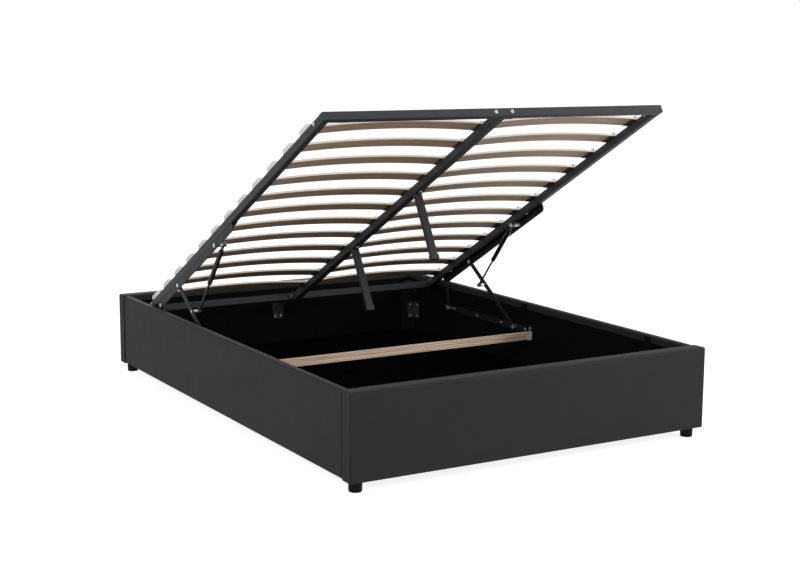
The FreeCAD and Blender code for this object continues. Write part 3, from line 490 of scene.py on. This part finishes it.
def plated_steel(name, colours, roughness, metallic, black_above=None):
    """Zinc plated and passivated steel: bright, a little cloudy, with fine drawing marks.
    Above the height black_above, in millimetres, it is near black."""
    material, tree, shader = new_finish(name, Metallic=metallic)
    place = object_place(tree)
    _, blend = mottled(tree, shader, place, 6.0, colours, roughness)
    if black_above is not None:
        parts = add_node(tree, "SeparateXYZ", {"Vector": place})
        above = add_node(
            tree, "Math", {0: parts.outputs["Z"], 1: black_above * MM}, operation="GREATER_THAN")
        dark = add_node(
            tree, "Mix",
            {"Factor": above.outputs[0], 6: blend.outputs[2], 7: linear(NEAR_BLACK)},
            data_type="RGBA")
        tree.links.new(dark.outputs[2], shader.inputs["Base Color"])
    marks_of_drawing = add_node(
        tree, "TexNoise", {"Vector": place, "Scale": per_size(0.8), "Detail": 2.0})
    embossed(tree, shader, [(marks_of_drawing.outputs["Fac"], 0.05, 0.3)])
    return material


def powder_coat(name, colours, roughness, specular):
    """Polyester powder coat on steel: satin, with the soft ripple called orange peel."""
    material, tree, shader = new_finish(name, Specular_IOR_Level=specular, IOR=1.5)
    place = object_place(tree)
    mottled(tree, shader, place, 30.0, colours, roughness, 6.0)
    # The ripple is about 1 mm, drawn at 3 mm
    peel = add_node(tree, "TexNoise", {"Vector": place, "Scale": per_size(3.0), "Detail": 1.0})
    embossed(tree, shader, [(peel.outputs["Fac"], 0.2, 0.35)])
    return material


# Colours, roughness and metallic share of bright zinc
BRIGHT_ZINC = (("#b2b4b6", "#cfd0d1"), (0.28, 0.4), 0.55)

# Finish of each material slot
finishes = {
    "faux_leather": faux_leather(),
    "panel_board": particle_board(),
    "lining_cloth": spunbond_lining(),
    "floor_board": black_hardboard(),
    "black_timber": stained_pine(),
    "pale_plywood": birch_plywood(),
    "black_plastic": moulded_plastic(
        "moulded_black_polypropylene", ("#060606", "#0a0a0a"), (0.45, 0.55), 0.1),
    "grey_plastic": moulded_plastic(
        "moulded_pale_grey_polypropylene", ("#dededd", "#e7e6e5"), (0.45, 0.55), 0.4),
    "slat_wood": bent_birch_slat(),
    "zinc_steel": plated_steel("bright_zinc_plated_steel", *BRIGHT_ZINC),
    "strut_paint": powder_coat(
        "satin_black_stoved_paint", ("#0a0a0b", "#101011"), (0.3, 0.4), 0.25),
    "rod_steel": powder_coat(
        "black_nitrided_steel", ("#111112", "#18181a"), (0.2, 0.28), 0.4),
    "strut_end_steel": plated_steel(
        "dull_zinc_plated_steel", ("#48494b", "#57585a"), (0.4, 0.55), 0.9),
    "linkage_steel": powder_coat(
        "dark_grey_powder_coated_plate", ("#0c0d0f", "#121315"), (0.54, 0.64), 0.28),
    "frame_steel": powder_coat(
        "dark_grey_powder_coated_tube", ("#232428", "#2b2c30"), (0.58, 0.68), 0.36),
}

for subpart in frame["record"]["subparts"]:
    cad_node = frame["nodes"][subpart["node"]]
    cad_node.data.materials.clear()
    cad_node.data.materials.append(finishes[subpart["material_slot"]])

# Pieces whose finish differs a little from the rest of their slot: screws blackened where they
# hold the hooks at the rim, dull hangers that are near black above the batten, oiled plates at
# the corners and the head, matt black hooks, dark grey plugs and darker legs
oiled_plate = plated_steel("oiled_steel_plate", ("#3f4042", "#525355"), (0.4, 0.5), 0.3)
own_finishes = {
    "base_screws": plated_steel(
        "zinc_plated_screws_blackened_at_the_rim", *BRIGHT_ZINC, HOOK_SCREWS_FROM),
    "batten_hangers": plated_steel(
        "galvanised_sheet_with_blackened_tab", ("#d2ccc0", "#ddd8cd"), (0.55, 0.7), 0.1,
        HANGER_TAB_FROM),
    "corner_plates": oiled_plate,
    "head_support": oiled_plate,
    "frame_rests": powder_coat(
        "matt_black_coated_hook", ("#050506", "#09090a"), (0.6, 0.7), 0.08),
    "frame_end_caps": moulded_plastic(
        "moulded_dark_grey_polyethylene", ("#151518", "#1b1b1e"), (0.45, 0.55), 0.3),
    "centre_legs": powder_coat(
        "dark_powder_coated_leg", ("#19181c", "#1f1e23"), (0.42, 0.52), 0.22),
}
for node, finish in own_finishes.items():
    frame["nodes"][node].data.materials[0] = finish


def padded_cover(name, node, low, high, across, inner, lip, end_bend, seam):
    """Faux leather drawn over one panel, as a closed block round its board. a, b and d run
    from -1 to 1 along, up and through it. Its outer face swells by
    (swell + ripple r) (1 - a^6) (1 - b^6), where r sums the slow waves
    part sin(run / length + z / height + start), and its top by crown (1 - d^4) (1 - a^20). On
    the inside it ends in a lip with a rolled hem,
    bulge exp(-((z - lip - rise) / reach)^2) (1 - a^20), under which it sinks behind the lining.
    Where it has a seam width, it is tucked in over that width at each end."""
    along = 1 - across
    bend_low = [0.0, 0.0, UNDER_BEND]
    bend_high = [0.0, 0.0, TOP_BEND]
    bend_low[across], bend_high[across] = (
        (OUTER_BEND, INNER_BEND) if inner > 0 else (INNER_BEND, OUTER_BEND))
    bend_low[along] = bend_high[along] = end_bend
    steps = [0.0, 0.0, COVER_STEPS["height"]]
    steps[across], steps[along] = COVER_STEPS["thickness"], COVER_STEPS["length"]
    extra = [(), (), lip + HEM_LINES]
    extra[along] = [
        end + turn * (seam + d) for end, turn in ((low[along], 1), (high[along], -1))
        for d in (-SEAM_EDGE, SEAM_EDGE)] if seam else ()
    square, points, quads = rounded_block(low, high, bend_low, bend_high, steps, 4, extra)
    low = np.asarray(low)
    high = np.asarray(high)
    share = (2 * square - low - high) / (high - low)
    depth = share[:, across] * inner
    a, b = share[:, along], share[:, 2]
    run, up = square[:, along], square[:, 2]
    on_outside = depth < -ON_FACE
    on_inside = depth > ON_FACE
    ripple = sum(
        part * np.sin(run / length + up / height + start)
        for length, height, start, part in RIPPLES)
    window = (1 - a ** 6) * (1 - b ** 6)
    swell = np.where(on_outside, (COVER_SWELL + COVER_RIPPLE * ripple) * window, 0)
    hem = HEM_BULGE * np.exp(-((up - lip - HEM_RISE) / HEM_REACH) ** 2) * (1 - a ** 20)
    inside = np.where(on_inside, hem - COVER_SINK * (up < lip), 0)
    half = (high - low)[along] / 2
    tuck = (np.abs(a) * half > half - seam) & on_outside
    points[:, across] += inner * (inside - swell + SEAM_DEPTH * tuck)
    crown = np.where(b > ON_FACE, COVER_CROWN * (1 - depth ** 4) * (1 - a ** 20), 0)
    points[:, 2] += crown
    piece = add_piece(
        name, (points, [quads]), "base", finishes["faux_leather"], [node])


for label, end in (("foot", -1), ("head", 1)):
    ys = sorted((end * HALF_LENGTH, end * INNER_Y))
    padded_cover(
        label + "_panel_faux_leather", label + "_panel_cover",
        (-HALF_WIDTH, ys[0], PANEL_BOTTOM), (HALF_WIDTH, ys[1], PANEL_TOP),
        1, -end, PANEL_TOP - LIP_DROP, END_PANEL_BEND, 0.0)
for label, side in (("left", -1), ("right", 1)):
    xs = sorted((side * SIDE_FACE_X, side * INNER_X))
    padded_cover(
        label + "_side_faux_leather", label + "_side_cover",
        (xs[0], -INNER_Y - SIDE_PANEL_OVERLAP, PANEL_BOTTOM + SIDE_STEP),
        (xs[1], INNER_Y + SIDE_PANEL_OVERLAP, PANEL_TOP - SIDE_STEP),
        0, -side, PANEL_TOP - SIDE_STEP - LIP_DROP, SIDE_PANEL_BEND, SEAM_WIDTH)


def slat_lift(x):
    """Height of a slat's underside over the frame, in millimetres: the bow
    h = seat + rise (1 - ((x - m) / w)^2) about its middle m, w being half its length."""
    middle = (SLAT_START + SLAT_STOP) / 2
    half = (SLAT_STOP - SLAT_START) / 2
    return SLAT_SEAT + SLAT_RISE * (1 - ((np.abs(x) - middle) / half) ** 2)


def slat(side, s, row):
    """One bowed slat: a block with rounded edges, each point raised by the bow at its x."""
    half = SLAT_WIDTH / 2
    low = (SLAT_START, s - half, 0.0)
    high = (SLAT_STOP, s + half, SLAT_THICKNESS)
    _, points, quads = rounded_block(low, high, SLAT_BENDS, SLAT_BENDS, SLAT_STEPS, 3)
    place = points + [GRAIN_SHIFT[0] * row * side, GRAIN_SHIFT[1] * row, 0.0]
    x, along, h = points.T
    placed = frame_place(side * x, along, h + slat_lift(x))
    return placed, [quads if side > 0 else quads[:, ::-1]], place


row_places = SLAT_FIRST + SLAT_PITCH * np.arange(SLAT_ROWS)
for row, s in enumerate(row_places, 1):
    pair = [slat(side, s, row) for side in SIDES]
    add_piece(
        "bowed_slats_%02d" % row, joined([(points, faces) for points, faces, _ in pair]),
        "lift_frame", finishes["slat_wood"], ["slat_row_%02d" % row],
        np.concatenate([place for _, _, place in pair]))


def slat_holder(side, s, low_x, high_x, height, mouths):
    """A moulded cap over slat ends: a block with rounded shoulders, and in each open end a
    deep mouth that the slat goes into, open down to the rail."""
    half = HOLDER_WIDTH / 2
    mouth_half = SLAT_WIDTH / 2 + MOUTH_CLEARANCE
    mouth_high = height - HOLDER_ROOF
    sunk = (high_x - low_x) * MOUTH_SHARE[len(mouths)]
    low = (low_x, s - half, 0.0)
    high = (high_x, s + half, height)
    low_end, high_end = (MOUTH_BEND if end in mouths else HOLDER_END_BEND for end in SIDES)
    bend_low = (low_end, HOLDER_SHOULDER, HOLDER_FOOT_BEND)
    bend_high = (high_end, HOLDER_SHOULDER, HOLDER_SHOULDER)
    edges = (-MOUTH_EDGE, MOUTH_EDGE)
    lips = [s + end * (mouth_half + d) for end in SIDES for d in edges]
    sills = [mouth_high + d for d in edges]
    square, points, quads = rounded_block(
        low, high, bend_low, bend_high, HOLDER_STEPS, 3, ((), lips, sills))
    in_mouth = (np.abs(square[:, 1] - s) < mouth_half) & (square[:, 2] < mouth_high)
    for end in mouths:
        face = low_x if end < 0 else high_x
        points[:, 0] -= np.where(in_mouth & (square[:, 0] == face), end * sunk, 0)
    placed = frame_place(side * points[:, 0], points[:, 1], points[:, 2])
    return placed, [quads if side > 0 else quads[:, ::-1]]


side_caps = [
    slat_holder(side, s, HOLDER_MOUTH, HOLDER_END, HOLDER_HEIGHT, (-1,))
    for s in row_places for side in SIDES]
add_piece(
    "side_slat_caps", joined(side_caps), "lift_frame", finishes["grey_plastic"],
    ["side_slat_holders"])
centre_caps = [
    slat_holder(1, s, -CENTRE_HOLDER_HALF, CENTRE_HOLDER_HALF, CENTRE_HOLDER_HEIGHT, SIDES)
    for s in row_places]
add_piece(
    "centre_slat_caps", joined(centre_caps), "lift_frame",
    finishes["grey_plastic"], ["centre_slat_holders"])


def painted_shade_tongue(side, s, low_x, high_x):
    """The dark tongue that a slat's end lies on, a painted shade under the slat beside its
    holder:
    a thin block as wide as the slat, raised by the bow at its x."""
    half = SLAT_WIDTH / 2
    low = (low_x, s - half, -TONGUE_THICKNESS)
    high = (high_x, s + half, TONGUE_OVERLAP)
    _, points, quads = rounded_block(low, high, TONGUE_BENDS, TONGUE_BENDS, TONGUE_STEPS, 3)
    x, along, h = points.T
    placed = frame_place(side * x, along, h + slat_lift(x))
    return placed, [quads if side > 0 else quads[:, ::-1]]


# Dark brown tongues under the slat ends: painted shade beside the holders
painted_shade_tongues = [
    painted_shade_tongue(side, s, *ends)
    for ends in (SIDE_TONGUE, CENTRE_TONGUE) for s in row_places for side in SIDES]
add_piece(
    "slat_holder_tongues", joined(painted_shade_tongues), "lift_frame",
    moulded_plastic(
        "moulded_dark_brown_polypropylene", ("#4a433e", "#534c46"), (0.5, 0.6), 0.2),
    ["side_slat_holders", "centre_slat_holders"])

# Cross batten: a sawn board on edge, its arrises eased
batten_low = (-BATTEN_HALF, BATTEN_Y[0], BATTEN_Z[0])
batten_high = (BATTEN_HALF, BATTEN_Y[1], BATTEN_Z[1])
_, batten_points, batten_quads = rounded_block(
    batten_low, batten_high, BATTEN_BENDS, BATTEN_BENDS, BATTEN_STEPS, 2)
add_piece(
    "sawn_cross_batten", (batten_points, [batten_quads]), "base",
    finishes["pale_plywood"], ["cross_batten"], batten_points)

# Gas strut tube, in millimetres from its upper pivot: rolled ends, a crimp before the gland,
# and the bore that the rod slides in
STRUT_TUBE = [
    (30.0, 0.0), (30.0, 6.5), (30.6, 8.0), (32.0, 9.0), (198.0, 9.0), (199.4, 8.4), (201.0, 8.1),
    (202.6, 8.4), (204.0, 9.0), (211.0, 9.0), (213.4, 8.4), (214.6, 7.2), (215.0, 6.0),
    (215.0, 4.6), (214.2, 4.3), (60.0, 4.3), (55.0, 4.3), (55.0, 0.0)]
# Piston rod: from inside the tube to its foot socket, with a small shoulder at the socket
STRUT_ROD = [
    (175.0, 0.0), (175.0, 3.4), (175.8, 4.0), (STRUT_LENGTH - 26.0, 4.0),
    (STRUT_LENGTH - 25.2, 4.7), (STRUT_LENGTH - 22.0, 4.7), (STRUT_LENGTH - 22.0, 0.0)]
for label, side in (("left", -1), ("right", 1)):
    top = np.array([side * STRUT_X, *STRUT_TOP])
    add_piece(
        label + "_gas_strut_tube", lathe(STRUT_TUBE, top, STRUT_AXIS), "strut_cylinders",
        finishes["strut_paint"], [label + "_strut_cylinder"])
    add_piece(
        label + "_gas_strut_piston_rod", lathe(STRUT_ROD, top, STRUT_AXIS), "strut_rods",
        finishes["rod_steel"], [label + "_strut_rod"])

# Foot: moulded, slightly tapered, with a rounded tread and a groove under its flange
FOOT_SHAPE = [
    (0.0, 0.0), (0.0, 18.6), (0.5, 20.2), (1.5, 21.2), (3.2, 21.7), (29.0, 22.4), (30.0, 22.0),
    (31.0, 22.0), (31.6, 22.5), (35.4, 22.5), (36.0, 22.1), (36.0, 0.0)]
FOOT_INSET = 40.0
foot_x, foot_y = HALF_WIDTH - FOOT_INSET, HALF_LENGTH - FOOT_INSET
feet = [
    lathe(FOOT_SHAPE, np.array([side * foot_x, end * foot_y, 0.0]), (0.0, 0.0, 1.0))
    for side in SIDES for end in SIDES]
add_piece(
    "moulded_feet", joined(feet), "base", finishes["black_plastic"],
    ["corner_feet"])

# Camera
camera_data = bpy.data.cameras.new("studio_camera")
camera_data.sensor_width = CAMERA_SENSOR
camera_data.lens = CAMERA_LENS
camera = bpy.data.objects.new("studio_camera", camera_data)
bpy.context.scene.collection.objects.link(camera)
axes = Matrix((CAMERA_RIGHT, CAMERA_UP, CAMERA_BACK)).transposed().to_4x4()
camera.matrix_world = Matrix.Translation(CAMERA_PLACE) @ axes
bpy.context.scene.camera = camera

# Studio: white for the camera and for reflections, a plain level for the light on the bed
WORLD_LEVEL = 0.5
LAMPS = (
    # place, size, watts
    ((-4.2, -3.2, 2.6), 2.0, 78.0),
    ((3.7, -3.7, 2.6), 2.0, 146.0),
    ((1.5, 5.2, 2.2), 3.0, 60.0),
)
AIM = Vector((0.0, -0.1, 0.4))
for number, (place, size, watts) in enumerate(LAMPS, 1):
    lamp_data = bpy.data.lights.new("softbox_%d" % number, "AREA")
    lamp_data.energy = watts
    lamp_data.size = size
    lamp = bpy.data.objects.new("softbox_%d" % number, lamp_data)
    lamp.location = place
    lamp.rotation_euler = (AIM - Vector(place)).to_track_quat("-Z", "Y").to_euler()
    bpy.context.scene.collection.objects.link(lamp)


def seen(tree):
    """1 where a camera, glossy or transmitted ray meets the surface, and 0 for lighting rays."""
    path = add_node(tree, "LightPath", {})
    gloss = add_node(
        tree, "Math", {0: path.outputs["Is Camera Ray"], 1: path.outputs["Is Glossy Ray"]},
        operation="MAXIMUM")
    return add_node(
        tree, "Math", {0: gloss.outputs[0], 1: path.outputs["Is Transmission Ray"]},
        operation="MAXIMUM").outputs[0]


world = bpy.data.worlds.new("white_studio")
world.use_nodes = True
world.node_tree.nodes.clear()
sky = world.node_tree
light_sky = add_node(sky, "Background", {"Color": linear("#ffffff"), "Strength": WORLD_LEVEL})
white_sky = add_node(sky, "Background", {"Color": linear("#ffffff"), "Strength": 1.0})
both_skies = add_node(
    sky, "MixShader", {0: seen(sky), 1: light_sky.outputs[0], 2: white_sky.outputs[0]})
add_node(sky, "OutputWorld", {"Surface": both_skies.outputs[0]})
bpy.context.scene.world = world

# Floor: pale, and for the camera a white that still takes the bed's shadow. Its glow fades out
# under the middle of the box, where no studio light reaches: painted shade on the floor there
FLOOR_HALF = 30.0
FLOOR_GLOW = 0.86
GLOW_FROM = {"X": 0.42, "Y": 0.72}
GLOW_FADE = 0.15
floor_mesh = bpy.data.meshes.new("studio_floor")
floor_corners = [(-1, -1, 0), (1, -1, 0), (1, 1, 0), (-1, 1, 0)]
floor_mesh.from_pydata((np.array(floor_corners) * FLOOR_HALF).tolist(), [], [(0, 1, 2, 3)])
floor_paint = bpy.data.materials.new("white_studio_floor")
floor_paint.use_nodes = True
floor_tree = floor_paint.node_tree
floor_tree.nodes.clear()
pale = add_node(floor_tree, "BsdfDiffuse", {"Color": linear("#d6d6d6")})
shaded = add_node(floor_tree, "BsdfDiffuse", {"Color": linear("#bcbcbc")})
floor_parts = add_node(floor_tree, "SeparateXYZ", {"Vector": object_place(floor_tree)})
# Glow by distance from the middle, fading into the painted shade under the box
glow_beside_painted_shade = []
for axis, reach in GLOW_FROM.items():
    distance = add_node(floor_tree, "Math", {0: floor_parts.outputs[axis]}, operation="ABSOLUTE")
    glow_beside_painted_shade.append(add_node(
        floor_tree, "MapRange",
        {"Value": distance.outputs[0], "From Min": reach, "From Max": reach + GLOW_FADE,
         "To Max": FLOOR_GLOW},
        interpolation_type="SMOOTHSTEP"))
level = add_node(
    floor_tree, "Math", {0: glow_beside_painted_shade[0].outputs[0], 1: glow_beside_painted_shade[1].outputs[0]},
    operation="MAXIMUM")
glow = add_node(
    floor_tree, "Emission", {"Color": linear("#ffffff"), "Strength": level.outputs[0]})
white_floor = add_node(floor_tree, "AddShader", {0: shaded.outputs[0], 1: glow.outputs[0]})
both_floors = add_node(
    floor_tree, "MixShader", {0: seen(floor_tree), 1: pale.outputs[0], 2: white_floor.outputs[0]})
add_node(floor_tree, "OutputMaterial", {"Surface": both_floors.outputs[0]})
floor_mesh.materials.append(floor_paint)
floor = bpy.data.objects.new("studio_floor", floor_mesh)
bpy.context.scene.collection.objects.link(floor)

bpy.context.scene.view_settings.view_transform = "Standard"
